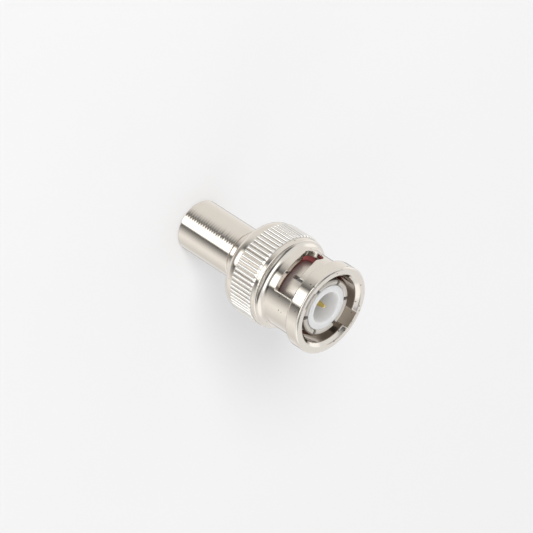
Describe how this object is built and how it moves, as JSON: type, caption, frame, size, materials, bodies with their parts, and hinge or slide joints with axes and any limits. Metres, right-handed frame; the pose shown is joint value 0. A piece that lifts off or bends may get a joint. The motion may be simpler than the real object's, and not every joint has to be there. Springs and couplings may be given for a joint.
{
  "type": "bnc terminator",
  "caption": "Coaxial bayonet plug terminator: knurled coupling nut that turns and floats on a plug body, slotted outer contact, centre pin, and a closed barrel that holds a load resistor.",
  "frame": {"origin": "centre of the end cap's rear face, on which the part stands", "axes": "+Z along the connector's axis, from the closed end towards the mouth; the two bayonet entries lie on -Y and +Y"},
  "size_m": [0.0136, 0.0136, 0.0258],
  "materials": {
    "nut_nickel": "nickel-plated brass, polished, with turned and knurled surfaces",
    "cap_nickel": "nickel-plated brass, fine turned lines",
    "body_nickel": "nickel-plated brass, turned",
    "contact_nickel": "nickel-plated spring bronze",
    "silicone_red": "moulded red silicone rubber",
    "ptfe_white": "turned white PTFE",
    "pin_gold": "gold-plated brass",
    "spring_steel": "plain spring steel",
    "ceramic": "fired ceramic rod with a resistance film",
    "lacquer_blue": "baked blue lacquer",
    "tinned_steel": "tinned steel",
    "solder": "soft solder"
  },
  "bodies": {
    "shell": {"end_cap": "cap_nickel", "plug_body": "body_nickel", "outer_contact": "contact_nickel", "gasket": "silicone_red", "front_insulator": "ptfe_white", "rear_insulator": "ptfe_white", "centre_pin": "pin_gold", "retaining_ring": "spring_steel", "wave_washer_rear": "spring_steel", "wave_washer_front": "spring_steel", "resistor_core": "ceramic", "resistor_coating": "lacquer_blue", "resistor_cap_front": "tinned_steel", "resistor_cap_rear": "tinned_steel", "resistor_lead_front": "tinned_steel", "resistor_lead_rear": "tinned_steel", "pin_solder": "solder", "cap_solder": "solder"},
    "washer": {"thrust_washer": "spring_steel"},
    "nut": {"coupling_nut": "nut_nickel"}
  },
  "joints": [
    {"name": "nut_float", "type": "slide", "parent": "shell", "child": "washer", "axis": [0, 0, 1], "range_m": [0, 0.0006], "stiffness_N_per_m": 5000, "springref_m": -0.0004, "deforming": ["wave_washer_rear", "wave_washer_front"]},
    {"name": "nut_turn", "type": "hinge", "parent": "washer", "child": "nut", "pos_m": [0, 0, 0.01395], "axis": [0, 0, 1], "continuous": true}
  ]
}
